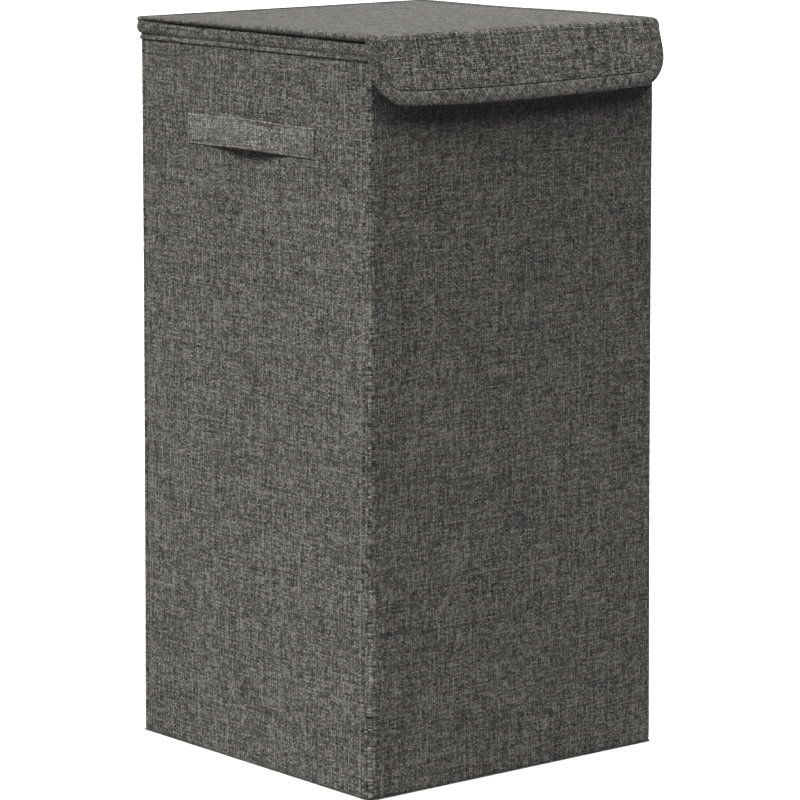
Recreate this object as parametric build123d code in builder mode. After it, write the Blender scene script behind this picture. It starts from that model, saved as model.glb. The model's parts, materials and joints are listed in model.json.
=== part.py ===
from build123d import *
import os
from math import cos, radians, sin

# Laundry hamper with a hinged lid, in millimetres.
# The origin is the middle of the base, on the floor: +Z up, the lid's flap hangs down the front, at -Y.

# Body
body_width = 321.0  # left to right, and front to back, over the fabric walls
rim_height = 645.3  # floor to the top of the rim binding
corner_radius = 4.0  # vertical corners of the fabric body
cover_thick = 0.8  # outer fabric with its backing
board_thick = 2.4  # stiff chipboard in the walls and the base insert
lining_thick = 0.6  # non-woven lining
corner_wrap = 5.5  # how far the front and back covers reach round each corner
pocket_top = 644.5  # top of the fabric walls, inside the rim binding
board_top = 643.5

# Rim binding, a tape folded over the top edge
tape_outer_drop = 16.0
tape_inner_drop = 14.0
tape_outer_thick = 1.0
tape_inner_thick = 0.8

# Hinge strip on the back wall
strip_width = 300.0
strip_thick = 0.5
strip_bottom = 612.0

# Strap handles on the left and right walls
handle_length = 177.0
handle_height = 26.0
handle_thick = 1.8
handle_bottom = 542.5
handle_bow = 9.5  # finger gap at the middle of the strap
handle_sewn = 26.0  # length of each box-stitched end

# Lid
lid_width = 331.0
lid_bottom = 645.7
lid_back = 162.2  # Y of the lid's bound back edge
lid_corner_radius = 6.0
window_radius = 2.0  # inner corners of the bias tape
bind_thick = 0.4  # bias tape on each face
bind_edge = 0.7  # bias tape round the edge
bind_width = 13.5
lid_board_setback = 4.0  # board's front edge to the fold
panel_board_thick = 1.6  # thinner board in the lid and the flap
panel_board_inset = 4.0  # these boards stop this far inside the bias tape
panel_board_radius = 2.0

# Fold between the lid and the flap: the flap's hinge axis runs along X through this point
fold_y = -162.8
fold_z = 648.7
fold_clear = 0.6  # the two covers stop this far short of the axis

# Flap
flap_angle = 16.0  # how far the flap hangs off the vertical at rest
flap_drop = 56.7  # fold to free edge
flap_corner_radius = 32.0
flap_channel = 8.0  # sewn channel of bare fabric between the fold and the flap's board

# Base insert
insert_width = 309.0
insert_gap = 0.3  # above the base lining
insert_sleeve = 0.8

half = body_width / 2
board_face = half - cover_thick  # outer face of the boards
lining_face = board_face - board_thick  # outer face of the linings
inside = lining_face - lining_thick  # inner face of the linings
wall_floor = cover_thick + lining_thick  # top of the base lining

os.makedirs("parts", exist_ok=True)


def write(part, name):
    part.label = name
    export_step(part, f"parts/{name}.step")


# Base: outer fabric on the floor, with the non-woven lining on it
with BuildPart() as base_cover:
    with BuildSketch():
        RectangleRounded(body_width, body_width, corner_radius)
    extrude(amount=cover_thick)
write(base_cover.part, "base_cover")

with BuildPart() as base_lining:
    with BuildSketch(Plane.XY.offset(cover_thick)):
        RectangleRounded(2 * board_face, 2 * board_face, corner_radius - cover_thick)
    extrude(amount=lining_thick)
write(base_lining.part, "base_lining")

# Front and back covers: one sheet each, with both edges wrapped round the corners to the side walls
for name, side in (("front_cover", -1), ("back_cover", 1)):
    with BuildPart() as wrapped_cover:
        with BuildSketch(Plane.XY.offset(cover_thick)):
            RectangleRounded(body_width, body_width, corner_radius)
            RectangleRounded(2 * board_face, 2 * board_face, corner_radius - cover_thick, mode=Mode.SUBTRACT)
            with Locations((0, -side * corner_wrap)):
                Rectangle(body_width, body_width, mode=Mode.SUBTRACT)
        extrude(amount=pocket_top - cover_thick)
    write(wrapped_cover.part, name)

# Left and right covers: flat sheets between the corner seams
for name, side in (("left_cover", -1), ("right_cover", 1)):
    with BuildPart() as side_cover:
        with BuildSketch(Plane.XY.offset(cover_thick)):
            with Locations((side * (half - cover_thick / 2), 0)):
                Rectangle(cover_thick, body_width - 2 * corner_wrap)
        extrude(amount=pocket_top - cover_thick)
    write(side_cover.part, name)

# Wall boards and wall linings: one of each to a wall, turned round the vertical axis
for name, turn in (("front", 0), ("right", 90), ("back", 180), ("left", 270)):
    wall = Plane.XY.offset(wall_floor).rotated((0, 0, turn))
    with BuildPart() as wall_board:
        with BuildSketch(wall):
            with Locations((0, -board_face + board_thick / 2)):
                Rectangle(body_width - 2 * corner_radius, board_thick)
        extrude(amount=board_top - wall_floor)
    write(wall_board.part, f"{name}_board")

    lining_length = 2 * (inside if name in ("front", "back") else lining_face)
    with BuildPart() as wall_lining:
        with BuildSketch(wall):
            with Locations((0, -lining_face + lining_thick / 2)):
                Rectangle(lining_length, lining_thick)
        extrude(amount=pocket_top - wall_floor)
    write(wall_lining.part, f"{name}_lining")

# Hinge strip: sewn flat to the back wall, its upper part under the rim binding
with BuildPart() as hinge_strip:
    with BuildSketch(Plane.XY.offset(strip_bottom)):
        with Locations((0, half + strip_thick / 2)):
            Rectangle(strip_width, strip_thick)
    extrude(amount=rim_height - strip_bottom)
write(hinge_strip.part, "hinge_strip")

# Rim binding: tape folded over the top edge of all four walls
tape_half = half + tape_outer_thick
tape_inside = inside - tape_inner_thick
with BuildPart() as rim_binding:
    with BuildSketch(Plane.XY.offset(rim_height)):
        RectangleRounded(2 * tape_half, 2 * tape_half, corner_radius + tape_outer_thick)
        Rectangle(2 * tape_inside, 2 * tape_inside, mode=Mode.SUBTRACT)
    extrude(amount=-tape_outer_drop)
    with BuildSketch(Plane.XY.offset(pocket_top)):
        RectangleRounded(body_width, body_width, corner_radius)
        Rectangle(2 * inside, 2 * inside, mode=Mode.SUBTRACT)
    extrude(amount=-tape_outer_drop, mode=Mode.SUBTRACT)
    with BuildSketch(Plane.XY.offset(rim_height - tape_inner_drop)):
        Rectangle(2 * inside, 2 * inside)
    extrude(amount=-tape_outer_drop, mode=Mode.SUBTRACT)
    with BuildSketch(Plane.XY.offset(strip_bottom)):
        with Locations((0, half + strip_thick / 2)):
            Rectangle(strip_width, strip_thick)
    extrude(amount=rim_height - strip_bottom, mode=Mode.SUBTRACT)
write(rim_binding.part, "rim_binding")

# Strap handles: both ends sewn flat to the wall, the middle bowed off it
free_end = handle_length / 2 - handle_sewn
for name, side in (("left_handle", -1), ("right_handle", 1)):
    with BuildPart() as handle:
        with BuildSketch(Plane.XY.offset(handle_bottom)):
            with BuildLine():
                wall_x = side * half
                strap_x = side * (half + handle_thick)
                inner_bow = side * (half + handle_bow)
                outer_bow = side * (half + handle_bow + handle_thick)
                inner_low = Line((wall_x, -handle_length / 2), (wall_x, -free_end))
                inner_arc = ThreePointArc(inner_low @ 1, (inner_bow, 0), (wall_x, free_end))
                inner_high = Line(inner_arc @ 1, (wall_x, handle_length / 2))
                end_high = Line(inner_high @ 1, (strap_x, handle_length / 2))
                outer_high = Line(end_high @ 1, (strap_x, free_end))
                outer_arc = ThreePointArc(outer_high @ 1, (outer_bow, 0), (strap_x, -free_end))
                outer_low = Line(outer_arc @ 1, (strap_x, -handle_length / 2))
                Line(outer_low @ 1, inner_low @ 0)
            make_face()
        extrude(amount=handle_height)
    write(handle.part, name)

# Lid: lining, board and cover between the two faces of the bias tape, open at the fold
core_width = lid_width - 2 * bind_edge
core_back = lid_back - bind_edge
lining_bottom = lid_bottom + bind_thick
board_bottom = lining_bottom + lining_thick
cover_bottom = board_bottom + panel_board_thick
cover_top = cover_bottom + cover_thick
lid_top = cover_top + bind_thick


def lid_outline(bottom, width, front, back, radius):
    """A layer of the lid, seen from above: square at its front edge, with the two back corners rounded."""
    with BuildSketch(Plane.XY.offset(bottom)) as layer:
        with Locations((0, (front + back) / 2)):
            Rectangle(width, back - front)
        fillet(layer.vertices().group_by(Axis.Y)[-1], radius)
    return layer.sketch


core_radius = lid_corner_radius - bind_edge
board_front = fold_y + lid_board_setback
cover_front = fold_y + fold_clear
with BuildPart() as lid_lining:
    extrude(lid_outline(lining_bottom, core_width, board_front, core_back, core_radius), amount=lining_thick)
write(lid_lining.part, "lid_lining")

board_width = core_width - 2 * panel_board_inset
board_back = core_back - panel_board_inset
with BuildPart() as lid_board:
    outline = lid_outline(board_bottom, board_width, board_front, board_back, panel_board_radius)
    extrude(outline, amount=panel_board_thick)
write(lid_board.part, "lid_board")

with BuildPart() as lid_cover:
    extrude(lid_outline(cover_bottom, core_width, cover_front, core_back, core_radius), amount=cover_thick)
write(lid_cover.part, "lid_cover")

lid_thick = lid_top - lid_bottom
lid_core = cover_top - lining_bottom
window_width = lid_width - 2 * bind_width
window_back = lid_back - bind_width
with BuildPart() as lid_binding:
    extrude(lid_outline(lid_bottom, lid_width, board_front, lid_back, lid_corner_radius), amount=lid_thick)
    window = lid_outline(lid_bottom, window_width, board_front, window_back, window_radius)
    extrude(window, amount=lid_thick, mode=Mode.SUBTRACT)
    core = lid_outline(lining_bottom, core_width, board_front, core_back, core_radius)
    extrude(core, amount=lid_core, mode=Mode.SUBTRACT)
write(lid_binding.part, "lid_binding")

# Flap: its layers lie on planes through the fold, tilted off the vertical.
# On the flap's plane, Y runs up the flap and Z out of its face, with zero at the middle of the cover.
tilt = radians(flap_angle)
flap_plane = Plane(origin=(0, fold_y, fold_z), x_dir=(1, 0, 0), z_dir=(0, -cos(tilt), sin(tilt)))
flap_face = cover_thick / 2


def flap_outline(bottom, inset, top):
    """A layer of the flap, inset from its edge: square at the top, with the two lower corners rounded."""
    with BuildSketch(flap_plane.offset(bottom)) as layer:
        with Locations((0, -(flap_drop - inset + top) / 2)):
            Rectangle(lid_width - 2 * inset, flap_drop - inset - top)
        lower = layer.vertices().sort_by(Axis(flap_plane.origin, flap_plane.y_dir))[:2]
        fillet(lower, flap_corner_radius - inset)
    return layer.sketch


with BuildPart() as flap_cover:
    extrude(flap_outline(-flap_face, bind_edge, fold_clear), amount=cover_thick)
write(flap_cover.part, "flap_cover")

flap_board_back = -flap_face - panel_board_thick
flap_board_inset = bind_edge + panel_board_inset
with BuildPart() as flap_board:
    extrude(flap_outline(flap_board_back, flap_board_inset, flap_channel), amount=panel_board_thick)
write(flap_board.part, "flap_board")

flap_back = flap_board_back - lining_thick
with BuildPart() as flap_lining:
    extrude(flap_outline(flap_back, bind_edge, flap_channel), amount=lining_thick)
write(flap_lining.part, "flap_lining")

flap_core = flap_face - flap_back
flap_thick = flap_core + 2 * bind_thick
with BuildPart() as flap_binding:
    extrude(flap_outline(flap_back - bind_thick, 0, flap_channel), amount=flap_thick)
    window = flap_outline(flap_back - bind_thick, bind_width, flap_channel)
    extrude(window, amount=flap_thick, mode=Mode.SUBTRACT)
    core = flap_outline(flap_back, bind_edge, flap_channel)
    extrude(core, amount=flap_core, mode=Mode.SUBTRACT)
write(flap_binding.part, "flap_binding")

# Base insert: a board in a non-woven sleeve that is open along its back edge, loose on the base lining
insert_bottom = wall_floor + insert_gap
with BuildPart() as insert_board:
    with BuildSketch(Plane.XY.offset(insert_bottom + insert_sleeve)):
        Rectangle(insert_width - 2 * insert_sleeve, insert_width - 2 * insert_sleeve)
    extrude(amount=board_thick)
write(insert_board.part, "insert_board")

with BuildPart() as insert_cover:
    with BuildSketch(Plane.XY.offset(insert_bottom)):
        Rectangle(insert_width, insert_width)
    extrude(amount=board_thick + 2 * insert_sleeve)
    with BuildSketch(Plane.XY.offset(insert_bottom + insert_sleeve)):
        with Locations((0, insert_sleeve)):
            Rectangle(insert_width - 2 * insert_sleeve, insert_width)
    extrude(amount=board_thick, mode=Mode.SUBTRACT)
write(insert_cover.part, "insert_cover")
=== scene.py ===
import json
from math import cos, pi, radians, sin, tan

import bpy
import numpy as np
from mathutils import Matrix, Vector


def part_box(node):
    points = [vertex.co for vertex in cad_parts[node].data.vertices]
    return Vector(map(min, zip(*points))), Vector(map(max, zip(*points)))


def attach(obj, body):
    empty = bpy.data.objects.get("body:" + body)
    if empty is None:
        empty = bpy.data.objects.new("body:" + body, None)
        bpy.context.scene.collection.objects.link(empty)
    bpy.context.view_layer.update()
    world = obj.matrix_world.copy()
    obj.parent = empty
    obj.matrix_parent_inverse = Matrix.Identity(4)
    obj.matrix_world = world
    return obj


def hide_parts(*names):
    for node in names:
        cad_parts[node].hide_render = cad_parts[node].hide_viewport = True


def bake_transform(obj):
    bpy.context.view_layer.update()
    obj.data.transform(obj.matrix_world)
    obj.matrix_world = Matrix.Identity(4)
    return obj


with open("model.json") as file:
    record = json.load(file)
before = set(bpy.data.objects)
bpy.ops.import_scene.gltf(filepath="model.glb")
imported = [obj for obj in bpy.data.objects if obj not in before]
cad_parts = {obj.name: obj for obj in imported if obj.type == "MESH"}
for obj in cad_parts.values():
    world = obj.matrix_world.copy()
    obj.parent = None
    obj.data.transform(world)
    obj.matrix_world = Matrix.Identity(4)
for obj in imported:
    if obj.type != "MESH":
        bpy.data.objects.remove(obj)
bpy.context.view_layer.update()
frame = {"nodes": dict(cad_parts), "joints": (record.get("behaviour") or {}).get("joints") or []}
mm = 0.001

# ---- Camera, floor and lights ------
# A long lens from the front left, a little above the lid. The floor is a wide pale sheet. Large soft lights
# stand on the left, in front and, weaker, behind on the right, with a small one low near the front corner.
camera_data = bpy.data.cameras.new("camera")
camera_data.lens = 184.35
camera_data.sensor_width = 36.0
camera_data.clip_end = 100.0
camera = bpy.data.objects.new("camera", camera_data)
camera.location = (-2.2962, -2.7852, 0.9181)
camera.rotation_euler = (radians(90.0 - 9.594), 0.0, radians(-39.563))
bpy.context.collection.objects.link(camera)
bpy.context.scene.camera = camera
bpy.context.scene.view_settings.view_transform = "Standard"



def place_piece(name, mesh, material):
    """A finished mesh, put in the scene in its material."""
    mesh.materials.append(material)
    made = bpy.data.objects.new(name, mesh)
    bpy.context.collection.objects.link(made)
    return made


floor_reach = 60.0
floor_corners = [(x * floor_reach, y * floor_reach, 0) for x, y in ((-1, -1), (1, -1), (1, 1), (-1, 1))]
floor_mesh = bpy.data.meshes.new("floor")
floor_mesh.from_pydata(floor_corners, [], [(0, 1, 2, 3)])
floor_paint = bpy.data.materials.new("pale floor")
floor_paint.use_nodes = True
floor_finish = floor_paint.node_tree.nodes["Principled BSDF"].inputs
floor_finish["Base Color"].default_value = (0.86, 0.86, 0.85, 1)
floor_finish["Roughness"].default_value = 0.9
floor_finish["Emission Color"].default_value = (1, 1, 0.99, 1)
floor_finish["Emission Strength"].default_value = 0.6
floor = place_piece("floor", floor_mesh, floor_paint)
floor.location.z = -0.4 * mm
floor.visible_diffuse = False


def hang(light, towards):
    """Puts a light in the scene, shining from the direction `towards`."""
    holder = bpy.data.objects.new(light.name, light)
    holder.rotation_euler = Vector(towards).to_track_quat("Z", "Y").to_euler()
    bpy.context.collection.objects.link(holder)
    return holder


def lamp(name, towards, strength, softness):
    """A distant light, `softness` degrees wide."""
    light = bpy.data.lights.new(name, "SUN")
    light.energy = strength
    light.angle = radians(softness)
    hang(light, towards)


lamp("side light", (-0.70, -0.08, 0.71), 4.05, 28)
lamp("front light", (0.05, -0.60, 0.80), 2.1, 32)
lamp("back light", (0.7, 0.5, 0.12), 1.5, 40)

near_light = bpy.data.lights.new("low light near the front corner", "AREA")
near_light.energy = 0.3
near_light.size = 0.2
near_holder = hang(near_light, (-0.28, -0.36, 0.0))
near_holder.location = (-0.44, -0.52, 0.06)
near_holder.visible_camera = False

world = bpy.data.worlds.new("studio")
world.use_nodes = True
backdrop = world.node_tree.nodes["Background"].inputs
backdrop["Color"].default_value = (1.0, 1.0, 1.0, 1)
backdrop["Strength"].default_value = 0.02
bpy.context.scene.world = world

# ---- Front and back covers ---------
# Grey linen-look polyester, woven from dark and pale yarns with long slubs, backed and stretched over the
# boards. The front and back sheets wrap round the corners and dip into a sewn seam on the side walls.
WARP_PAIR = 2.6 * mm
WEFT_PAIR = 1.9 * mm
WARP_SLUB = 14 * mm
WEFT_SLUB = 10 * mm


def put(tree, kind, sockets=(), **settings):
    """A new shader node: settings are its own options, sockets its inputs by name or number."""
    made = tree.nodes.new("ShaderNode" + kind)
    for key, value in settings.items():
        setattr(made, key, value)
    for key, value in dict(sockets).items():
        if isinstance(value, bpy.types.NodeSocket):
            tree.links.new(value, made.inputs[key])
        else:
            made.inputs[key].default_value = value
    return made


def calc(tree, operation, a, b=0.0, c=0.0):
    """The output of one sum on two or three numbers."""
    return put(tree, "Math", {0: a, 1: b, 2: c}, operation=operation).outputs[0]


def vector(tree, operation, sockets):
    """The output of one sum on vectors."""
    return put(tree, "VectorMath", sockets, operation=operation).outputs[0]


def noise(tree, place, scale, detail, roughness=0.5):
    """Smooth uneven tone over a place in the cloth."""
    sockets = {"Vector": place, "Scale": scale, "Detail": detail, "Roughness": roughness}
    return put(tree, "TexNoise", sockets).outputs["Fac"]


def shades(tree, tone, low, high, middle=None):
    """The colour for a tone. low and high are (tone, colour), and middle is the colour for 0.5."""
    ramp = put(tree, "ValToRGB", {0: tone})
    stops = ramp.color_ramp.elements
    for stop, (place, colour) in zip(stops, (low, high)):
        stop.position, stop.color = place, (*colour, 1)
    if middle:
        stops.new(0.5).color = (*middle, 1)
    return ramp.outputs[0]


def finish(tree, shader, colour, relief, strength, depth):
    """Gives a shader its colour and its relief."""
    bump = put(tree, "Bump", {"Strength": strength, "Distance": depth, "Height": relief})
    tree.links.new(colour, shader.inputs["Base Color"])
    tree.links.new(bump.outputs[0], shader.inputs["Normal"])


def blank_material(name, roughness, sheen):
    """A material with only its finish set, and the shader that its colour and bump go to."""
    made = bpy.data.materials.new(name)
    made.use_nodes = True
    shader = made.node_tree.nodes["Principled BSDF"]
    shader.inputs["Roughness"].default_value = roughness
    shader.inputs["Specular IOR Level"].default_value = 0.25
    shader.inputs["Sheen Weight"].default_value = sheen
    shader.inputs["Sheen Roughness"].default_value = 0.5
    return made, made.node_tree, shader


def linen(name, dark, middle, pale, slant=0.0, seed=0.0):
    """Hopsack weave: yarns cross in pairs, each uneven in tone, with painted shade between them. slant turns
    it, for cloth cut on the bias.
    """
    made, tree, shader = blank_material(name, 0.88, 0.12)
    cloth = put(tree, "UVMap", uv_map="weave").outputs[0]
    turned = put(tree, "VectorRotate", {"Vector": cloth, "Angle": slant}, rotation_type="Z_AXIS").outputs[0]
    wander = put(tree, "TexNoise", {"Vector": turned, "Scale": 60.0, "Detail": 2.0}).outputs["Color"]
    drift = vector(tree, "SUBTRACT", {0: wander, 1: (0.5, 0.5, 0.5)})
    pairs = vector(tree, "MULTIPLY", {0: turned, 1: (1 / WARP_PAIR, 1 / WEFT_PAIR, 0)})
    moved = vector(tree, "MULTIPLY_ADD", {0: drift, 1: (1.2, 1.2, 0), 2: pairs})
    across, along, _ = put(tree, "SeparateXYZ", {0: moved}).outputs
    end, pick = calc(tree, "FLOOR", across), calc(tree, "FLOOR", along)
    warp_on_top = calc(tree, "FLOORED_MODULO", calc(tree, "ADD", end, pick), 2.0)

    def yarn(pair, place, run, offset):
        """Tone along one yarn of a pair: slow dark and pale stretches, with shorter slubs in them."""
        twin = calc(tree, "GREATER_THAN", calc(tree, "SUBTRACT", place, pair), 0.5)
        number = calc(tree, "MULTIPLY_ADD", twin, 1.9, calc(tree, "MULTIPLY", pair, 3.7))
        spot = put(tree, "CombineXYZ", {0: number, 1: run, 2: seed + offset}).outputs[0]
        slow_run = calc(tree, "MULTIPLY", run, 0.2)
        slow_spot = put(tree, "CombineXYZ", {0: number, 1: slow_run, 2: offset - seed}).outputs[0]
        short, slow = noise(tree, spot, 1.0, 2.5, 0.85), noise(tree, slow_spot, 1.0, 1.0)
        return put(tree, "Mix", {0: 0.3, 2: short, 3: slow}).outputs[0]

    warp = yarn(end, across, calc(tree, "MULTIPLY", along, WEFT_PAIR / WARP_SLUB), 3.1)
    weft = yarn(pick, along, calc(tree, "MULTIPLY", across, WARP_PAIR / WEFT_SLUB), 17.7)
    on_top = put(tree, "Mix", {0: warp_on_top, 2: calc(tree, "ADD", weft, 0.02), 3: warp}).outputs[0]
    shared = calc(tree, "MULTIPLY", calc(tree, "ADD", warp, weft), 0.5)
    slubs = put(tree, "Mix", {0: 0.4, 2: on_top, 3: shared}).outputs[0]
    crossing = put(tree, "CombineXYZ", {0: end, 1: pick, 2: seed}).outputs[0]
    fleck = put(tree, "TexWhiteNoise", {"Vector": crossing}, noise_dimensions="3D").outputs["Value"]
    tone = calc(tree, "MULTIPLY_ADD", calc(tree, "SUBTRACT", fleck, 0.5), 0.09, slubs)
    crowns, pair_edges = [], []
    for place in (across, along):
        crowns.append(calc(tree, "ABSOLUTE", calc(tree, "SINE", calc(tree, "MULTIPLY", place, 2 * pi))))
        pair_edges.append(calc(tree, "ABSOLUTE", calc(tree, "SINE", calc(tree, "MULTIPLY", place, pi))))
    crown = put(tree, "Mix", {0: warp_on_top, 2: crowns[1], 3: crowns[0]}).outputs[0]
    arch = put(tree, "Mix", {0: warp_on_top, 2: pair_edges[0], 3: pair_edges[1]}).outputs[0]
    rounded, squared = calc(tree, "MULTIPLY_ADD", crown, 0.4, 0.6), calc(tree, "POWER", arch, 0.7)
    height = calc(tree, "MULTIPLY", rounded, squared)
    # Painted shade: the yarn colour darkens with the weave's relief, most in the gaps between the yarns.
    painted_gap_shade = calc(tree, "MULTIPLY_ADD", height, 1.2, 0.12)
    yarn_colour = shades(tree, tone, (0.39, dark), (0.61, pale), middle)
    colour = vector(tree, "SCALE", {0: yarn_colour, "Scale": painted_gap_shade})
    finish(tree, shader, colour, calc(tree, "MULTIPLY_ADD", tone, 0.8, height), 0.6, 0.4 * mm)
    return made


cloth_tones = (0.0, 0.0, 0.0), (0.085, 0.085, 0.075), (0.265, 0.263, 0.234)
wall_linen = linen("grey linen", *cloth_tones)


def closed_sheet(name, outer, inner, weave, material, ring=False):
    """A thin closed piece of cloth between two grids of points, rows by columns. A ring joins its last column
    to the first. weave holds each point's place in the cloth, in metres, with one column more on a ring."""
    rows, columns = outer.shape[:2]
    points = np.concatenate([outer.reshape(-1, 3), inner.reshape(-1, 3)])
    index = np.arange(rows * columns).reshape(rows, columns)
    if ring:
        index = np.concatenate([index, index[:, :1]], axis=1)
    back = index + rows * columns
    spots = np.arange(weave.shape[0] * weave.shape[1]).reshape(weave.shape[:2])

    def strip(a, b, c, d):
        return np.stack([x.reshape(-1) for x in (a, b, c, d)], axis=1)

    faces, places = [], []
    for grid, order in ((index, (0, 1, 2, 3)), (back, (3, 2, 1, 0))):
        for what, store in ((grid, faces), (spots, places)):
            corners = (what[:-1, :-1], what[:-1, 1:], what[1:, 1:], what[1:, :-1])
            store.append(strip(*[corners[k] for k in order]))
    first_row, last_row = (0, slice(None)), (-1, slice(None))
    first_column, last_column = (slice(None), 0), (slice(None), -1)
    for line in (first_row, last_row) if ring else (first_row, last_row, first_column, last_column):
        edge, under, spot = index[line], back[line], spots[line]
        if line in (last_row, first_column):
            edge, under, spot = edge[::-1], under[::-1], spot[::-1]
        faces.append(strip(edge[1:], edge[:-1], under[:-1], under[1:]))
        places.append(strip(spot[1:], spot[:-1], spot[:-1], spot[1:]))
    faces, places = np.concatenate(faces), np.concatenate(places)
    a, b, c = (outer[0, 1] - outer[0, 0], outer[1, 0] - outer[0, 0], outer[0, 0] - inner[0, 0])
    if np.dot(np.cross(a, b), c) < 0:
        faces, places = faces[:, ::-1], places[:, ::-1]
    mesh = bpy.data.meshes.new(name)
    mesh.from_pydata(points.tolist(), [], faces.tolist())
    layer = mesh.uv_layers.new(name="weave")
    layer.data.foreach_set("uv", weave.reshape(-1, 2)[places.reshape(-1)].astype(np.float32).ravel())
    mesh.shade_smooth()
    mesh.set_sharp_from_angle(angle=radians(50))
    return place_piece(name, mesh, material)


def stack(*parts):
    """Points from their x, y and z, each a number or a grid."""
    return np.stack(np.broadcast_arrays(*parts), axis=-1)


def slack(a, b, size, seed):
    """Gentle rise and fall of stretched cloth over its board, the same on every run."""
    total = 0.0
    for k, (p, q) in enumerate(((11.3, 7.1), (19.7, -13.9), (5.3, 27.1), (33.1, 23.3))):
        total = total + np.sin(p * a * 2 + q * b * 2 + seed + 1.7 * k) / (k + 1.6)
    return size * total


wall_low, wall_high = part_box("front_cover")
half = -wall_low.y
wall_bottom, wall_top = wall_low.z, wall_high.z
wrap = wall_high.y - wall_low.y
cloth_thick = 0.8 * mm
corner_radius = 4 * mm
loose_fit = 0.65 * mm
flare = 3.0 * mm
seam_depth = 1.1 * mm
base_seam_reach = 2.2 * mm
wall_slack = 0.16 * mm
slack_fade = 20 * mm
corner_arc = corner_radius * pi / 2
wrap_leg = wrap - corner_radius - 0.15 * mm


def swell(height):
    """How far the walls stand out at this height: the base is a little wider than the rim."""
    return loose_fit + flare * (1 - np.clip(height / wall_top, 0, 1)) ** 1.6


def tuck(distance, reach=1.5 * mm):
    """How far cloth dips into a seam, at this distance from it."""
    return seam_depth * np.exp(-((distance / reach) ** 2) * 1.6)


def pucker(along, distance, size=0.14 * mm):
    """Small gathers that the thread pulls into the cloth beside a seam."""
    gathers = np.sin(along * 2 * pi / (7.3 * mm)) + 0.6 * np.sin(along * 2 * pi / (11.9 * mm) + 1.3)
    return size * gathers * np.exp(-distance / (6 * mm))


def wall_proud(along, z, to_seam, seed):
    """How far a wall's cloth stands out: loose over the board, drawn in at its side and base seams."""
    to_base = z - wall_bottom
    loose = slack(along, z, wall_slack, seed) * np.clip(to_seam / slack_fade, 0, 1)
    drawn_in = swell(z) + loose - tuck(to_seam) - tuck(to_base, base_seam_reach)
    return drawn_in + pucker(z, to_seam) + pucker(along, to_base)


straight = half - corner_radius
stations = np.concatenate([
    -straight - corner_arc - np.array([wrap_leg, wrap_leg - 0.5 * mm, wrap_leg - 1.0 * mm]),
    -straight - corner_arc * np.linspace(1, 0, 9),
    np.linspace(-straight, straight, 84)[1:-1],
    straight + corner_arc * np.linspace(0, 1, 9),
    straight + corner_arc + np.array([wrap_leg - 1.0 * mm, wrap_leg - 0.5 * mm, wrap_leg]),
])
heights = np.concatenate([
    wall_bottom + np.array([0, 0.6, 1.4, 2.6, 4.5]) * mm,
    np.linspace(wall_bottom + 8 * mm, wall_top, 160),
])


def round_corner(station, proud):
    """Points on a wall that wraps both its corners, and the way out of it, by distance along the cloth."""
    side, along = np.sign(station), np.abs(station)
    turn = np.clip((along - straight) / corner_radius, 0, pi / 2)
    leg = np.maximum(along - straight - corner_arc, 0)
    x = side * (np.minimum(along, straight) + corner_radius * np.sin(turn))
    y = -half + corner_radius * (1 - np.cos(turn)) + leg
    return stack(x + side * np.sin(turn) * proud, y - np.cos(turn) * proud)


for name, facing in (("front_cover", 1), ("back_cover", -1)):
    s, z = np.meshgrid(stations, heights)
    proud = wall_proud(s, z, straight + corner_arc + wrap_leg - np.abs(s), 2.0 + facing)
    face = round_corner(s, proud) * facing
    under = round_corner(s, proud - cloth_thick) * facing
    weave = stack(s + 0.4 * facing, z)
    cover = closed_sheet(name, stack(face[..., 0], face[..., 1], z), stack(under[..., 0], under[..., 1], z),
                         weave, wall_linen)
    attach(cover, "body")
    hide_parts(name)

# ---- Left and right covers ---------
# The same cloth in a flat sheet on each side wall, sewn to the wrapped edges of the front and back sheets
# and topstitched beside both seams.
seam_y = half - wrap
side_y = np.concatenate([
    -seam_y + np.array([0.1, 0.6, 1.2, 2.0, 3.0]) * mm,
    np.linspace(-seam_y + 4.5 * mm, seam_y - 4.5 * mm, 82),
    seam_y - np.array([3.0, 2.0, 1.2, 0.6, 0.1]) * mm,
])
topstitch_inset = 4.5 * mm
for name, facing in (("left_cover", -1), ("right_cover", 1)):
    y, z = np.meshgrid(side_y, heights)
    to_seam = seam_y - np.abs(y)
    proud = wall_proud(y, z, to_seam, 5.0 + facing) - 0.4 * tuck(to_seam - topstitch_inset)
    outer = stack(facing * (half + proud), y, z)
    inner = stack(facing * (half + proud - cloth_thick), y, z)
    cover = closed_sheet(name, outer, inner, stack(y * facing + 2.0, z), wall_linen)
    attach(cover, "body")
    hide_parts(name)

# ---- Corner topstitching -----------
# Pale grey polyester thread in a row of lock stitches on the side wall beside every corner seam.
STITCH_LENGTH = 3.0 * mm
STITCH_PITCH = 3.7 * mm
THREAD_RADIUS = 0.34 * mm


def thread(name, tone):
    """Twisted polyester sewing thread, painted darker in the hollows of its twist and paler on its crests:
    painted shade and highlight.
    """
    made, tree, shader = blank_material(name, 0.6, 0.2)
    twist = noise(tree, put(tree, "TexCoord").outputs["Object"], 2600.0, 1.0)
    # Painted shade and highlight: darker where the twist's relief is low, paler where it is high.
    shaded_hollow, lit_crest = [c * 0.6 for c in tone], [c * 1.3 for c in tone]
    finish(tree, shader, shades(tree, twist, (0.35, shaded_hollow), (0.65, lit_crest)), twist, 0.5, 0.1 * mm)
    return made


pale_thread = thread("pale grey thread", (0.26, 0.26, 0.24))


def distance_along(points):
    """How far along its line each point is, from 0 at the first."""
    return np.concatenate([[0], np.cumsum(np.linalg.norm(np.diff(points, axis=0), axis=1))])


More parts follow.
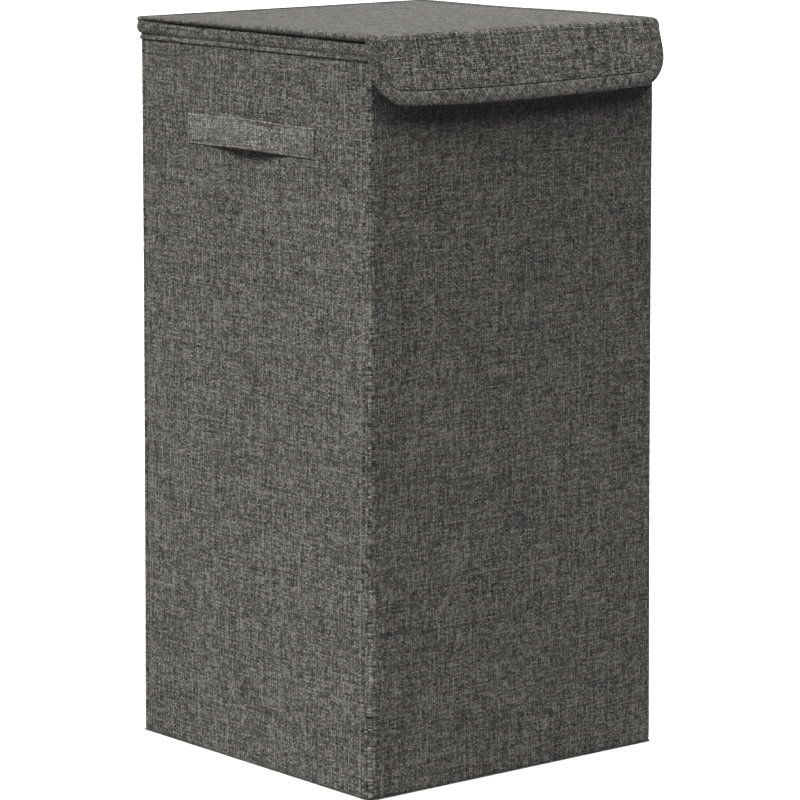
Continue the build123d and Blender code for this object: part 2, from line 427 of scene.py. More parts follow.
def stitches(name, rows, material):
    """Lock stitches along rows. A row is (points, outward directions), evenly spaced by its own length."""
    ring_sides, stages = 6, np.linspace(0, 1, 6)
    rise = np.sin(stages * pi) ** 0.7
    arch = (rise * 0.9 - 0.75) * THREAD_RADIUS
    girth = (0.45 + 0.55 * rise) * THREAD_RADIUS
    turn = np.linspace(0, 2 * pi, ring_sides, endpoint=False)
    tubes = []
    for line, outward in rows:
        run = distance_along(line)
        count = max(1, int((run[-1] + STITCH_PITCH - STITCH_LENGTH) / STITCH_PITCH))
        spare = run[-1] - count * STITCH_PITCH + STITCH_PITCH - STITCH_LENGTH
        starts = spare / 2 + np.arange(count) * STITCH_PITCH
        at = starts[:, None] + stages[None, :] * STITCH_LENGTH
        middle = np.stack([np.interp(at, run, line[:, k]) for k in range(3)], axis=-1)
        up = np.stack([np.interp(at, run, outward[:, k]) for k in range(3)], axis=-1)
        up /= np.linalg.norm(up, axis=-1, keepdims=True)
        ahead = middle[:, -1:] - middle[:, :1]
        ahead /= np.linalg.norm(ahead, axis=-1, keepdims=True)
        beside = np.cross(ahead, up)
        middle = middle + up * arch[None, :, None]
        ring = np.cos(turn)[:, None] * beside[:, :, None] + np.sin(turn)[:, None] * up[:, :, None]
        tubes.append(middle[:, :, None] + ring * girth[None, :, None, None])
    tubes = np.concatenate(tubes)
    count, lengths = len(tubes), len(stages)
    one = np.arange(lengths * ring_sides).reshape(lengths, ring_sides)
    wrapped = np.concatenate([one, one[:, :1]], axis=1)
    quads = np.stack([wrapped[:-1, :-1], wrapped[:-1, 1:], wrapped[1:, 1:], wrapped[1:, :-1]], axis=-1)
    quads = quads.reshape(-1, 4)
    ends = [one[0, ::-1].tolist(), one[-1].tolist()]
    faces = []
    for k in range(count):
        shift = k * lengths * ring_sides
        faces += (quads + shift).tolist()
        faces += [[p + shift for p in cap] for cap in ends]
    mesh = bpy.data.meshes.new(name)
    mesh.from_pydata(tubes.reshape(-1, 3).tolist(), [], faces)
    mesh.shade_smooth()
    return place_piece(name, mesh, material)


tape_low, tape_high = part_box("rim_binding")
seam_z = np.linspace(wall_bottom + 5 * mm, tape_low.z - 1 * mm, 60)
rows = []
for facing in (-1, 1):
    for end in (-1, 1):
        row_y = end * (seam_y - topstitch_inset)
        rows.append((
            stack(facing * (half + swell(seam_z) - 0.1 * mm), row_y, seam_z),
            stack(np.full_like(seam_z, facing), 0.0, 0.0),
        ))
corner_stitching = stitches("corner_stitching", rows, pale_thread)
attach(corner_stitching, "body")

# ---- Base --------------------------
# The outer fabric goes on under the floor of the hamper, sewn to the four walls along the lower edge, with
# a non-woven lining on its upper side.
base_low, base_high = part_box("base_cover")


def square_grid(reach, radius, count):
    """A grid over a square with rounded corners, from its middle line outwards."""
    even = np.linspace(-1, 1, count)
    line = reach * np.sign(even) * np.abs(even) ** 0.8
    x, y = np.meshgrid(line, line)
    over_x, over_y = np.abs(x) - (reach - radius), np.abs(y) - (reach - radius)
    in_corner = (over_x > 0) & (over_y > 0)
    share = np.where(in_corner, np.maximum(over_x, over_y) / np.maximum(np.hypot(over_x, over_y), 1e-9), 1.0)
    x = np.where(in_corner, np.sign(x) * (reach - radius + over_x * share), x)
    y = np.where(in_corner, np.sign(y) * (reach - radius + over_y * share), y)
    return x, y


base_reach = half + swell(0) - 0.5 * mm
x, y = square_grid(base_reach, corner_radius, 97)
to_edge = base_reach - np.maximum(np.abs(x), np.abs(y))
lift = 0.5 * mm * np.exp(-((to_edge / (1.5 * mm)) ** 2))
base = closed_sheet("base_cover", stack(x, y, base_low.z + lift), stack(x, y, base_high.z + lift),
                    stack(x, y + 4.0), wall_linen)
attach(base, "body")
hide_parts("base_cover")

# ---- Linings -----------------------
# Dark non-woven polypropylene, bonded at a grid of small points: one sheet behind each wall board and one on
# the floor, sewn in at the corners, the base and the rim.
BOND_PITCH = 2.4 * mm


def nonwoven(name, tone):
    """Fibre sheet with a staggered grid of bonded dents."""
    made, tree, shader = blank_material(name, 0.78, 0.05)
    sheet = put(tree, "UVMap", uv_map="weave").outputs[0]
    turned = put(tree, "VectorRotate", {"Vector": sheet, "Angle": pi / 4}, rotation_type="Z_AXIS").outputs[0]
    cell = vector(tree, "FRACTION", {0: vector(tree, "SCALE", {0: turned, "Scale": 1 / BOND_PITCH})})
    flat_cell = vector(tree, "MULTIPLY", {0: cell, 1: (1, 1, 0)})
    bond = put(tree, "VectorMath", {0: flat_cell, 1: (0.5, 0.5, 0)}, operation="DISTANCE").outputs["Value"]
    dent = put(tree, "MapRange", {0: bond, 1: 0.18, 2: 0.34}, interpolation_type="SMOOTHSTEP").outputs[0]
    fibres, cloud = noise(tree, sheet, 1500.0, 3.0, 0.7), noise(tree, sheet, 35.0, 2.0)
    shade = calc(tree, "MULTIPLY_ADD", dent, 0.35, 0.62)
    shade = calc(tree, "MULTIPLY", shade, calc(tree, "MULTIPLY_ADD", fibres, 0.8, 0.6))
    shade = calc(tree, "MULTIPLY", shade, calc(tree, "MULTIPLY_ADD", cloud, 0.5, 0.75))
    colour = vector(tree, "SCALE", {0: tone, "Scale": shade})
    finish(tree, shader, colour, calc(tree, "MULTIPLY_ADD", fibres, 0.35, dent), 0.5, 0.25 * mm)
    return made


def quarter_turn(x, y, quarter):
    """A place on one wall, turned by this many quarter turns to another."""
    c, s = (1, 0, -1, 0)[quarter], (0, 1, 0, -1)[quarter]
    return c * x - s * y, s * x + c * y


lining_cloth = nonwoven("dark non-woven", (0.075, 0.075, 0.078))
for name, quarter in (("front_lining", 0), ("right_lining", 1), ("back_lining", 2), ("left_lining", 3)):
    low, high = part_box(name)
    face_at = (high.y, -low.x, -low.y, high.x)[quarter]
    back_at = (low.y, -high.x, -high.y, low.x)[quarter]
    reach = (high.x - low.x if quarter % 2 == 0 else high.y - low.y) / 2
    a, z = np.meshgrid(np.linspace(-reach, reach, 60), np.linspace(low.z, high.z, 120))
    to_edge = np.minimum(reach - np.abs(a), z - low.z)
    sag = slack(a, z, 0.12 * mm, 9.0 + quarter) * np.clip(to_edge / 0.03, 0, 1) + pucker(z, reach - np.abs(a))
    near, far = quarter_turn(a, face_at + sag, quarter), quarter_turn(a, back_at + sag, quarter)
    lining = closed_sheet(name, stack(*near, z), stack(*far, z), stack(a + quarter, z), lining_cloth)
    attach(lining, "body")
    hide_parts(name)

floor_low, floor_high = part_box("base_lining")
x, y = square_grid(floor_high.x, 3 * mm, 61)
floor_lining = closed_sheet("base_lining", stack(x, y, floor_high.z), stack(x, y, floor_low.z),
                            stack(x, y + 6), lining_cloth)
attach(floor_lining, "body")
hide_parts("base_lining")

# ---- Boards ------------------------
# Solid chipboard, 2.4 mm thick in the walls and the base insert and 1.6 mm in the lid and the flap, closed
# in by the cloth. The shapes of the CAD pieces are right, so they keep them.


def chipboard(name):
    """Grey-brown board made of pressed waste paper, with flecks."""
    made, tree, shader = blank_material(name, 0.85, 0.0)
    place = put(tree, "TexCoord").outputs["Object"]
    pulp = noise(tree, place, 260.0, 4.0, 0.65)
    flecks = put(tree, "TexVoronoi", {"Vector": place, "Scale": 420.0}).outputs["Distance"]
    tone = calc(tree, "MULTIPLY_ADD", calc(tree, "LESS_THAN", flecks, 0.16), -0.2, pulp)
    colour = shades(tree, tone, (0.25, (0.20, 0.16, 0.12)), (0.75, (0.52, 0.45, 0.35)))
    finish(tree, shader, colour, pulp, 0.3, 0.2 * mm)
    return made


board_paper = chipboard("chipboard")
for name, node in frame["nodes"].items():
    if name.endswith("_board"):
        node.data.materials.clear()
        node.data.materials.append(board_paper)

# ---- Rim binding -------------------
# A tape of the same cloth, folded over the top edge of the walls and sewn through with one row of stitches.
# Its lower hem puffs out below the row. The tape's own end laps over its start on the left wall.
tape_linen = linen("grey linen tape", *cloth_tones, seed=5.0)
tape_thick = 0.8 * mm
rim_face = tape_high.x
rim_radius = 5 * mm
rim_inside = rim_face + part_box("front_lining")[1].y + tape_thick
tape_drop = tape_high.z - tape_low.z
inner_drop = 14 * mm
stitch_line = 4.3 * mm
top = tape_high.z - 0.1 * mm
hem = top - tape_drop
# each leg as (distance in from the rim's face, height), from the outer hem over the rim to the inner hem
outer_leg = np.array([
    (0.5, 0.3), (-0.6, 0.05), (-1.35, 0.5), (-1.5, 1.3), (-1.2, 2.3), (-0.4, 3.4), (0.35, 4.3), (-0.1, 5.1),
    (-0.55, 6.6), (-0.75, 9.5), (-0.6, 12.0), (-0.3, 13.8), (0.2, 14.9), (0.95, 15.6), (1.8, 15.9),
    (2.8, 16.0),
]) * mm + (0, hem)
inner_leg = np.array([
    (1.8, -0.12), (0.75, -0.7), (0.1, -2.0), (-0.1, -5.0), (0.15, -9.7), (-0.2, -11.5), (-0.1, -13.4),
    (0.6, -14.0),
]) * (-mm, mm) + (rim_inside, top)


def tape_section(thick, pressed=1.0, proud=0.0):
    """The tape's two faces across its width. pressed flattens the outer leg's puff, as under the flap."""
    leg = outer_leg.copy()
    leg[:, 0] = np.where(leg[:, 0] < 0, leg[:, 0] * pressed, leg[:, 0])
    line = np.concatenate([leg, inner_leg])
    ahead = np.gradient(line, axis=0)
    ahead /= np.linalg.norm(ahead, axis=1, keepdims=True)
    outward = np.stack([-ahead[:, 1], ahead[:, 0]], axis=1)
    return line + outward * proud, line + outward * (proud - thick)


def smooth(value, low, high):
    """0 up to low, 1 from high on, and eased between them."""
    t = np.clip((value - low) / (high - low), 0, 1)
    return t * t * (3 - 2 * t)


def plan(station, inset, radius):
    """A point on a rounded square: station runs -2 to 2 along one side, with the corners past -1 and 1."""
    reach = rim_face - inset
    bend = np.maximum(radius - inset, 0.7 * mm)
    side, far = np.sign(station), np.abs(station)
    turn = np.clip(far - 1, 0, 1) * pi / 4
    x = side * (np.minimum(far, 1) * (reach - bend) + bend * np.sin(turn))
    return x, -reach + bend * (1 - np.cos(turn))


side_stations = np.concatenate([
    np.linspace(-2, -1, 6)[:-1], np.linspace(-1, 1, 73), np.linspace(1, 2, 6)[1:-1],
])
pressed_section, puffed_section = tape_section(tape_thick, 0.25), tape_section(tape_thick)


def tape_ring(face):
    """The tape's outer or inner face round the four walls, eased in beside the corners of the front wall."""
    grid = []
    for quarter in range(4):
        puffed, flat = puffed_section[face], pressed_section[face]
        share = smooth(np.abs(side_stations), 0.9, 1.6) if quarter == 0 else np.ones_like(side_stations)
        inset = flat[:, :1] + (puffed - flat)[:, :1] * share[None, :]
        height = flat[:, 1:] + (puffed - flat)[:, 1:] * share[None, :]
        x, y = plan(side_stations[None, :], inset, rim_radius)
        x, y = quarter_turn(x, y, quarter)
        grid.append(stack(x, y, height))
    return np.concatenate(grid, axis=1)


def bulge(points):
    """The outer leg stands further off on the left wall, most at the back corner. Its stitches hold it."""
    above = smooth(points[..., 2], hem + stitch_line - 0.2 * mm, hem + stitch_line + 4 * mm)
    size = 1.3 * mm + 2.6 * mm * smooth(points[..., 1], 95 * mm, 158 * mm)
    return points - stack(size * above * smooth(-points[..., 0], 156 * mm, 160.5 * mm), 0.0, 0.0)


outer, inner = bulge(tape_ring(0)), bulge(tape_ring(1))
around = distance_along(np.concatenate([outer[2], outer[2][:1]]))
across = distance_along(puffed_section[0])
ripple = 0.12 * mm * np.sin(around[:-1] / (13 * mm)) * np.sin(around[:-1] / (31 * mm) + 1)
outward = outer * (1, 1, 0)
outward /= np.linalg.norm(outward, axis=-1, keepdims=True)
hang = np.clip((tape_high.z - outer[..., 2]) / (4 * mm), 0, 1)[..., None]
rippled = outward * hang * ripple[None, :, None]
outer, inner = outer + rippled, inner + rippled
weave = stack(around[None, :] + 8.0, across[:, None])
rim = closed_sheet("rim_binding", outer, inner, weave, tape_linen, ring=True)
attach(rim, "body")
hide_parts("rim_binding")

lap_start, lap_end = -94.7 * mm, -80.0 * mm
lap_outer, lap_inner = tape_section(0.5 * mm, proud=0.55 * mm)
lap_middle = -86 * mm
lap_y = np.array([lap_start - 0.4 * mm, lap_start, lap_start + 0.8 * mm, lap_start + 3 * mm, lap_middle,
                  lap_end + 2 * mm, lap_end])
lap_rise = np.array([-0.45, 0.0, 0.1, 0.1, 0.0, -0.25, -0.5]) * mm


def lap_grid(line):
    """One face of the lap, from the tape's section."""
    x = -(rim_face - line[:, :1]) - lap_rise[None, :] * np.clip((tape_high.z - line[:, 1:]) / (3 * mm), 0, 1)
    return bulge(stack(x, lap_y[None, :], line[:, 1:]))


lap = closed_sheet("rim_binding_lap", lap_grid(lap_outer), lap_grid(lap_inner),
                   stack(lap_y[None, :] + 9.3, across[:, None]), tape_linen)
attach(lap, "body")
lap_width = np.linalg.norm(np.diff(lap_grid(lap_outer)[:, 2], axis=0), axis=1).sum()

# Painted shade: the rows on the rim, the lid and the hinge strip use a near-black thread, darker than the
# real grey thread, to give the dark line of shade in their grooves.
shade_black_thread = thread("grey thread painted black for stitch shade", (0.014, 0.014, 0.013))
corner_turn = np.clip(np.abs(side_stations) - 1, 0, 1) * pi / 4
side_out, front_out = np.sign(side_stations) * np.sin(corner_turn), -np.cos(corner_turn)
rows = []
outer_row = (0.3 * mm, tape_drop - stitch_line, 1)
inner_row = (rim_inside - 0.15 * mm, inner_drop - stitch_line, -1)
for inset, drop, out in (outer_row, inner_row):
    points, ways = [], []
    for quarter in range(4):
        x, y = quarter_turn(*plan(side_stations, inset, rim_radius), quarter)
        points.append(stack(x, y, tape_high.z - drop))
        ways.append(stack(*quarter_turn(side_out * out, front_out * out, quarter), 0.0))
    rows.append((np.concatenate(points), np.concatenate(ways)))
rim_stitching = stitches("rim_stitching", rows, shade_black_thread)
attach(rim_stitching, "body")

# ---- Handles -----------------------
# A strip of the cloth folded into a flat strap, edge-stitched, and sewn to each side wall by a crossed box of
# stitches at both ends. It has a little spare length, so its middle stands off the wall and rides up.
# Painted light: the strap is the walls' cloth, painted in paler tones to stand in for the extra light that
# falls on it.
strap_linen_painted_paler = linen("grey linen strap painted paler", (0.03, 0.03, 0.027), (0.152, 0.151, 0.135), (0.36, 0.357, 0.318),
                    seed=11.0)
strap_low, strap_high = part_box("left_handle")
strap_half = strap_high.y
strap_width = strap_high.z - strap_low.z
strap_middle = (strap_high.z + strap_low.z) / 2
strap_thick = 1.8 * mm
sewn_length = 26 * mm
strap_bow = 9.5 * mm
strap_rise = 2.6 * mm
edge_row = 0.40  # of the strap's width, from its middle line to each edge row
edge_pinch = 0.5 * mm  # how far the edge rows draw the strap in
free_half = strap_half - sewn_length


def strap_place(y, across, level):
    """A point of the left strap, level above the wall, at this place along and across it."""
    arch = np.where(np.abs(y) < free_half, np.cos(np.clip(y / free_half, -1, 1) * pi / 2) ** 2, 0.0)
    lean = across * 0.045 * arch
    x = -(half + swell(strap_middle) - 0.1 * mm + arch * strap_bow - lean + level)
    return stack(x, y, strap_middle + across + strap_rise * arch)


across_line = strap_width / 2 * np.array([-1, -0.985, -0.95, -0.9, -0.84, -0.79, -0.74, -0.55, -0.3, 0,
                                          0.3, 0.55, 0.74, 0.79, 0.84, 0.9, 0.95, 0.985, 1])
along_line = np.concatenate([[-strap_half, -strap_half + 0.4 * mm, -strap_half + 1.2 * mm],
                             np.linspace(-strap_half + 2.5 * mm, strap_half - 2.5 * mm, 88),
                             [strap_half - 1.2 * mm, strap_half - 0.4 * mm, strap_half]])
a, y = np.meshgrid(across_line, along_line, indexing="ij")
edge = np.clip((strap_width / 2 - np.abs(a)) / (0.9 * mm), 0, 1)
tip = np.clip((strap_half - np.abs(y)) / (0.9 * mm), 0, 1)
full = np.sqrt(np.maximum(1 - (1 - edge) ** 2, 0.02)) * np.sqrt(np.maximum(1 - (1 - tip) ** 2, 0.05))
pinch = edge_pinch * np.exp(-(((np.abs(a) - strap_width * edge_row) / (1.0 * mm)) ** 2))
puff = 0.15 * mm * np.sin(y / (6.1 * mm)) * np.exp(-(((np.abs(a) - strap_width * 0.46) / (1.6 * mm)) ** 2))
upper = strap_thick / 2 * (1 + full) - pinch + puff + slack(y, a, 0.06 * mm, 4)
lower = strap_thick / 2 * (1 - full) + pinch * 0.4
outer, inner = strap_place(y, a, upper), strap_place(y, a, lower)
sewn_middle = strap_half - sewn_length / 2
box_half = sewn_length / 2 - 2.6 * mm
box_corners = np.array([(-1, -1), (1, -1), (1, 1), (-1, 1), (-1, -1), (1, 1)]) * box_half
cross = np.array([(1, -1), (-1, 1)]) * box_half
off_wall = np.array([-1.0, 0.0, 0.0])
strap_rows = []
for end in (-1, 1):
    for a0, a1 in list(zip(box_corners[:-1], box_corners[1:])) + [(cross[0], cross[1])]:
        line = a0 + (a1 - a0) * np.linspace(0, 1, 12)[:, None]
        place = strap_place(end * sewn_middle + line[:, 0], line[:, 1] * 0.92, strap_thick - 0.12 * mm)
        strap_rows.append((place, np.broadcast_to(off_wall, place.shape)))
edge_y = np.linspace(-free_half - 1 * mm, free_half + 1 * mm, 60)
for edge_side in (-1, 1):
    place = strap_place(edge_y, edge_side * strap_width * edge_row, strap_thick - edge_pinch)
    strap_rows.append((place, np.broadcast_to(off_wall, place.shape)))
strap_thread = thread("strap thread", (0.03, 0.03, 0.027))
for name, facing in (("left_handle", 1), ("right_handle", -1)):
    mirror = np.array([facing, 1, 1])
    strap = closed_sheet(name, outer * mirror, inner * mirror, stack(y + 11 + facing, a), strap_linen_painted_paler)
    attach(strap, "body")
    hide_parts(name)
    sewing = stitches(name + "_stitching", [(p * mirror, n * mirror) for p, n in strap_rows], strap_thread)
    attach(sewing, "body")

# ---- Lid and flap cover ------------
# One sheet of the outer fabric over both the lid's board and the flap's. It rolls over the sewn channel of
# bare cloth between them, which is the flap's hinge.
joints = {joint["name"]: joint for joint in frame["joints"]}
fold = joints["flap_fold"]["pos_m"]
fold_y, fold_z = fold[1], fold[2]
lid_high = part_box("lid_binding")[1]
lid_half = lid_high.x
lid_depth = lid_high.y - fold_y
flap_hang = radians(16.0)
flap_drop = 56.7 * mm
flap_radius = 32 * mm
lid_radius = 6 * mm
lid_shift = np.array([-0.6, -2.2]) * mm  # sewn on a little to the left, at the back and at the fold
flap_sag = 4.0 * mm  # its lower edge hangs in a shallow curve
fold_turn = pi / 2 - flap_hang
fold_radius = 4.2 * mm
fold_reach = fold_radius * tan(fold_turn / 2)


def on_panel(x, run, level):
    """A point of the lid and flap. run is the distance past the fold, negative on the lid, and level the
    distance out from the middle of the cover."""
    x, run, level = np.broadcast_arrays(x, run, level)
    off_middle = x + 40 * mm
    bow = np.cos(np.clip(off_middle / np.where(off_middle > 0, 195 * mm, 122 * mm), -1, 1) * pi / 2)
    run = run + flap_sag * bow * smooth(run, 12 * mm, flap_drop)
    turn = np.clip((run + fold_reach) / (2 * fold_reach), 0, 1) * fold_turn
    out_y, out_z = -np.sin(turn), np.cos(turn)
    before = np.minimum(run + fold_reach, 0)
    after = np.maximum(run - fold_reach, 0)
    y = fold_y + fold_reach - before - fold_radius * np.sin(turn) - after * sin(flap_hang)
    z = fold_z - fold_radius * (1 - np.cos(turn)) - after * cos(flap_hang)
    shift = np.interp(run, (-lid_depth, 0), lid_shift)
    return stack(x + shift, y + out_y * level, z + out_z * level)


def panel_width(run, inset):
    """Half the width of the lid or flap at this distance past the fold, inset from its edge."""
    radius = flap_radius - inset
    into = np.clip(run - (flap_drop - flap_radius), 0, radius - 1e-5)
    back = np.clip(-lid_depth + lid_radius - run, 0, lid_radius - inset - 1e-5)
    corner = lid_radius - inset
    in_front = radius - np.sqrt(radius**2 - into**2)
    in_back = corner - np.sqrt(corner**2 - back**2)
    return lid_half - inset - in_front - in_back


def core_depth(run):
    """How far the lining lies under the middle of the cover: deep over the boards, shallow at the fold."""
    lid_part = 2.6 * mm * (1 - smooth(run, -4.4 * mm, -2.2 * mm))
    flap_part = 2.6 * mm * smooth(run, 5.2 * mm, 7.6 * mm)
    return np.maximum(1.0 * mm, np.maximum(lid_part, flap_part))


def lift(x, run):
    """How far the face is puffed up off the board: most just behind the fold, drooping at the back edge."""
    puffed = 1.8 * mm * smooth(run, -215 * mm, -80 * mm) * (1 - smooth(run, -7 * mm, 4 * mm))
    at_back = 1 - smooth(run + lid_depth, 0.5 * mm, 6 * mm)
    return puffed - 1.1 * mm * smooth(x, -158 * mm, -120 * mm) * at_back


def thinning(inset):
    """1 at the bound edge, which is only cloth, down to 0 where the board starts."""
    return 1 - smooth(inset, 0.2 * mm, 4 * mm)


fold_stitch = 4.2 * mm
cover_thin = 0.45 * mm  # how far the face sinks at the bound edge
lining_thin = 1.35 * mm  # and how far the underside rises there
stitch_inset = 12.2 * mm
stitch_sink = 0.45 * mm
edge_steps = np.array([0.7, 1.5, 2.5, 4.0, 6.5, 9.0, 11.2, 12.2, 13.2, 14.4, 17.0]) * mm
fold_runs = np.concatenate([np.linspace(-9, -3, 9), np.linspace(-2.6, 2.6, 15), np.linspace(3, 10, 16)]) * mm
panel_runs = np.concatenate([
    -lid_depth + edge_steps, np.linspace(-lid_depth + 20 * mm, -12 * mm, 76), fold_runs,
    np.linspace(13 * mm, flap_drop - 19 * mm, 9), (flap_drop - edge_steps)[::-1],
])
columns = np.concatenate([
    edge_steps, np.linspace(20 * mm, 2 * lid_half - 20 * mm, 81), (2 * lid_half - edge_steps)[::-1],
])
share, run = np.meshgrid(columns / lid_half - 1, panel_runs)
x = share * panel_width(run, 0)
to_edge = np.minimum(panel_width(run, 0) - np.abs(x), np.minimum(run + lid_depth, flap_drop - run))
waves = slack(x, run, 0.14 * mm, 1.0) * np.clip((to_edge - 13 * mm) / (30 * mm), 0, 1)
fold_groove = 0.25 * mm * np.exp(-(((run - fold_stitch) / (1.2 * mm)) ** 2))
relief = waves + lift(x, run) - fold_groove - cover_thin * thinning(to_edge)
relief -= stitch_sink * np.exp(-(((to_edge - stitch_inset) / (1.0 * mm)) ** 2))
cover_half = 0.4 * mm
panel_cover = closed_sheet("lid_cover", on_panel(x, run, cover_half + relief),
                           on_panel(x, run, relief - cover_half), stack(x + 14, run), wall_linen)
fold_point = np.array(fold)
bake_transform(panel_cover)
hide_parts("lid_cover", "flap_cover")

# ---- Lid and flap lining -----------
# The same non-woven sheet under both boards, sewn up to the cover along the fold.
depth = core_depth(run) - lining_thin * thinning(to_edge)
lining_half = 0.5 * mm
panel_lining = closed_sheet("lid_lining", on_panel(x, run, -depth), on_panel(x, run, -depth + lining_half),
                            stack(x + 18, run), lining_cloth)
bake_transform(panel_lining)
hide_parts("lid_lining", "flap_lining")

# ---- Lid and flap binding ----------
# Bias tape, cut at 45 degrees so that it goes round the flap's corners. It is folded over the raw edges of
# the lid and flap all the way round and sewn through near its inner edge.
bias_linen = linen("grey linen bias tape", (0.002, 0.002, 0.002), (0.08, 0.08, 0.071), (0.23, 0.228, 0.203),
                   slant=pi / 4, seed=23.0)
tape_width = 13.5 * mm
tape_skin = 0.42 * mm
corner_droop = 2.8 * mm


def edge_path():
    """The edge of the lid and flap laid flat, from the back right corner: points and inward directions."""
    points, inward = [], []

    def corner(cx, cy, radius, start, steps):
        """Rounds a corner about (cx, cy), a quarter of a turn from the angle start."""
        for k in range(steps + 1):
            angle = start + pi / 2 * k / steps
            points.append((cx + radius * cos(angle), cy + radius * sin(angle)))
            inward.append((-cos(angle), -sin(angle)))

    def straight_to(a, b, way):
        """Runs straight from a to b, whose ends belong to the corners."""
        for p in np.linspace(a, b, max(2, int(np.linalg.norm(np.subtract(b, a)) / (4 * mm))))[1:-1]:
            points.append(tuple(p))
            inward.append(way)

    side_runs = np.concatenate([np.linspace(-lid_depth + lid_radius, -12 * mm, 78)[1:], fold_runs,
                                np.linspace(12 * mm, flap_drop - flap_radius, 5)[:-1]])
    for run_at in side_runs:
        points.append((lid_half, run_at))
        inward.append((-1, 0))
    corner(lid_half - flap_radius, flap_drop - flap_radius, flap_radius, 0, 18)
    straight_to((lid_half - flap_radius, flap_drop), (-lid_half + flap_radius, flap_drop), (0, -1))
    corner(-lid_half + flap_radius, flap_drop - flap_radius, flap_radius, pi / 2, 18)
    for run_at in side_runs[::-1]:
        points.append((-lid_half, run_at))
        inward.append((1, 0))
    corner(-lid_half + lid_radius, -lid_depth + lid_radius, lid_radius, pi, 6)
    straight_to((-lid_half + lid_radius, -lid_depth), (lid_half - lid_radius, -lid_depth), (0, 1))
    corner(lid_half - lid_radius, -lid_depth + lid_radius, lid_radius, 1.5 * pi, 6)
    return np.array(points), np.array(inward)


path, inward = edge_path()
path_length = distance_along(np.concatenate([path, path[:1]]))


def inset_path(inset):
    """The edge path moved in by this much. At the lid's tight back corners it folds to a mitre."""
    moved = path + inward * inset
    if inset > lid_radius:
        at_back = (path[:, 1] < -lid_depth + lid_radius) & (np.abs(path[:, 0]) > lid_half - lid_radius)
        moved[at_back, 0] = np.sign(moved[at_back, 0]) * (lid_half - inset)
        moved[at_back, 1] = -lid_depth + inset
    return moved


# inset from the edge in mm, side (1 is the face, -1 the underside, between is the turn), rise in mm
edge_stations = [
    (13.5, 1, -0.05), (13.4, 1, 0.45), (12.9, 1, 0.50), (12.5, 1, -0.15), (12.2, 1, -0.35), (11.9, 1, -0.15),
    (11.3, 1, 0.50), (9.5, 1, 0.68), (6.0, 1, 0.72), (3.2, 1, 0.62), (1.7, 0.97, 0.5), (0.75, 0.8, 0.42),
    (0.2, 0.45, 0.42), (0, 0, 0.42),
]
edge_stations += [(inset, -side, rise) for inset, side, rise in edge_stations[-2::-1]]


def tape_grid(skin):
    """The tape's outer face, or its inner face where skin is its thickness."""
    rows = []
    for inset, side, rise in edge_stations:
        place = inset_path(inset * mm + skin * (1 - abs(side)))
        thin = thinning(inset * mm)
        at_back = 1 - smooth(place[:, 1] + lid_depth, 4 * mm, 14 * mm)
        at_side = smooth(np.abs(place[:, 0]), lid_half - 9 * mm, lid_half - 2 * mm)
        droop = corner_droop * thin * at_back * at_side
        top = cover_half + rise * mm * (1 - 0.5 * at_back) - skin + lift(*place.T) - cover_thin * thin
        bottom = -core_depth(place[:, 1]) - rise * mm * 0.7 + skin + lining_thin * thin - droop
        rows.append(on_panel(place[:, 0], place[:, 1], (top + bottom) / 2 + side * (top - bottom) / 2))
    return np.stack(rows)


bound_outer, bound_inner = tape_grid(0.0), tape_grid(tape_skin * 0.9)
tape_across = distance_along(bound_outer[:, 5])
binding = closed_sheet("lid_binding", bound_outer, bound_inner,
                       stack(path_length[None, :] + 22, tape_across[:, None]), bias_linen, ring=True)
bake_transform(binding)
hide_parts("lid_binding", "flap_binding")

loop = inset_path(stitch_inset)
loop_x, loop_run = np.concatenate([loop, loop[:1]]).T
face_row = on_panel(loop_x, loop_run, cover_half - 0.2 * mm + lift(loop_x, loop_run))
face_out = on_panel(loop_x, loop_run, 10 * mm) - on_panel(loop_x, loop_run, 9 * mm)
under_row = on_panel(loop_x, loop_run, -core_depth(loop_run) - 0.1 * mm)
fold_x = np.linspace(-lid_half + tape_width, lid_half - tape_width, 100)
fold_row = on_panel(fold_x, fold_stitch, cover_half - 0.36 * mm)
fold_out = on_panel(fold_x, fold_stitch, 10 * mm) - on_panel(fold_x, fold_stitch, 9 * mm)
fold_under = on_panel(fold_x, fold_stitch, -core_depth(fold_stitch) - 0.05 * mm)
lid_stitching = stitches("lid_stitching", [(face_row, face_out), (under_row, -face_out), (fold_row, fold_out),
                                           (fold_under, -fold_out)], shade_black_thread)
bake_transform(lid_stitching)

# ---- Hinge strip -------------------
# A strip of the outer fabric, sewn to the back wall under the rim binding. It comes up over the rim and is
# sewn into the lid's back edge, and the lid swings on it.
strip_low, strip_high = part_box("hinge_strip")
hinge = joints["lid_hinge"]["pos_m"]
strip_half = strip_high.x
# up the wall as (distance off it, height), then past the hinge's axis into the lid as (back, up)
strip_climb = np.array([
    (0.15, 0), (0.45, 0.4), (0.5, 1.5), (0.3, 4), (0.5, 6), (0.45, 12), (0.45, 17.5), (0.45, 25), (0.6, 29),
    (1.0, 31.5),
]) * mm
strip_top = np.array([(0.0, -4.7), (0.15, -3.6), (0.1, -2.7), (-0.1, -2.1), (-0.5, -1.9), (-1.4, -2.2)]) * mm
climb_z = strip_low.z + strip_climb[:, 1]
strip_path = np.concatenate([
    stack(half + swell(climb_z) + strip_climb[:, 0], climb_z),
    strip_top + (hinge[1], hinge[2]),
])
strip_ahead = np.gradient(strip_path, axis=0)
strip_ahead /= np.linalg.norm(strip_ahead, axis=1, keepdims=True)
strip_out = np.stack([strip_ahead[:, 1], -strip_ahead[:, 0]], axis=1)
strip_run = distance_along(strip_path)
strip_x = np.linspace(-strip_half, strip_half, 91)
wave = 0.08 * mm * np.sin(strip_x / (8.7 * mm))[None, :] * np.where(strip_path[:, 1:] < tape_low.z, 1.0, 0.3)
face = stack(strip_x[None, :], strip_path[:, :1] + wave, strip_path[:, 1:])
under_path = strip_path - strip_out * 0.4 * mm
under = stack(strip_x[None, :], under_path[:, :1] + wave, under_path[:, 1:])
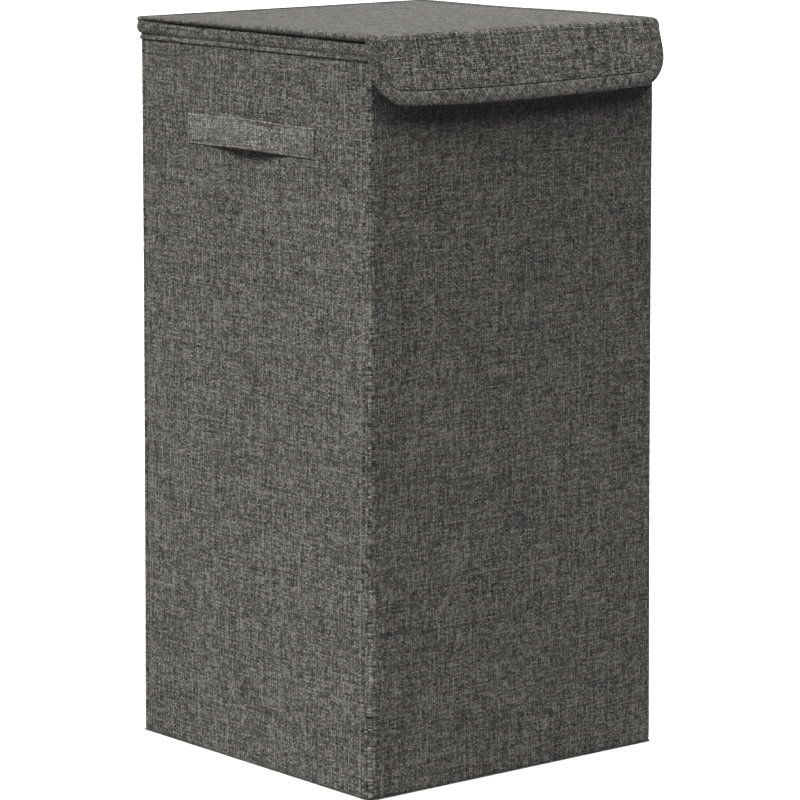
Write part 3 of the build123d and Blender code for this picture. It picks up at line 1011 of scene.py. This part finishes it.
strip = closed_sheet("hinge_strip", face, under, stack(strip_x[None, :] + 26, strip_run[:, None]), tape_linen)
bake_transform(strip)
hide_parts("hinge_strip")
strip_row_z = strip_low.z + 4 * mm
row_x = np.linspace(-strip_half + 2 * mm, strip_half - 2 * mm, 80)
strip_row = stack(row_x, half + swell(strip_row_z) + 0.3 * mm, strip_row_z)
off_back = np.broadcast_to((0.0, 1.0, 0.0), strip_row.shape)
strip_stitching = stitches("hinge_strip_stitching", [(strip_row, off_back)], shade_black_thread)
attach(strip_stitching, "body")

# ---- Base insert -------------------
# The loose floor board in its non-woven sleeve. The sleeve is a flat tube round the board, pinched shut along
# its front edge.
insert_low, insert_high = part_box("insert_cover")
board_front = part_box("insert_board")[0].y
sleeve_half = insert_high.x
sleeve_thick = 0.6 * mm
sleeve_bend = 1.5 * mm
edge_y = np.concatenate([[insert_low.y, insert_low.y + 0.25 * mm, insert_low.y + 0.7 * mm],
                         np.linspace(insert_low.y + 2 * mm, insert_high.y, 60)])
flat_x = np.linspace(-sleeve_half + sleeve_bend, sleeve_half - sleeve_bend, 60)
bend = np.linspace(0, pi, 7)[1:-1]
top_z, low_z = insert_high.z, insert_low.z
mid_z, half_z = (top_z + low_z) / 2, (top_z - low_z) / 2
loop_x = np.concatenate([flat_x, sleeve_half - sleeve_bend + sleeve_bend * np.sin(bend), flat_x[::-1],
                         -sleeve_half + sleeve_bend - sleeve_bend * np.sin(bend)])
loop_z = np.concatenate([np.ones_like(flat_x), np.cos(bend), -np.ones_like(flat_x), -np.cos(bend)])
into_front = 0.65 * (edge_y - insert_low.y) / (board_front - insert_low.y)
pinched = np.where(edge_y < board_front, 0.35 + into_front, 1.0)
rise = slack(loop_x[None, :], edge_y[:, None], 0.1 * mm, 7.0) * (loop_z[None, :] > 0.9)


def sleeve_grid(skin):
    """The sleeve's outer face, or its inner face where skin is its thickness."""
    reach = half_z * pinched[:, None] - skin
    x = np.sign(loop_x) * np.maximum(np.abs(loop_x) - skin * (np.abs(loop_z) < 0.9), 0)
    return stack(x[None, :], edge_y[:, None], mid_z + loop_z[None, :] * reach + rise)


outer, inner = sleeve_grid(0.0), sleeve_grid(sleeve_thick)
around = distance_along(np.concatenate([outer[-1], outer[-1][:1]]))
sleeve = closed_sheet("insert_cover", outer, inner, stack(around[None, :] + 30, edge_y[:, None]),
                      lining_cloth, ring=True)
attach(sleeve, "insert")
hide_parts("insert_cover")
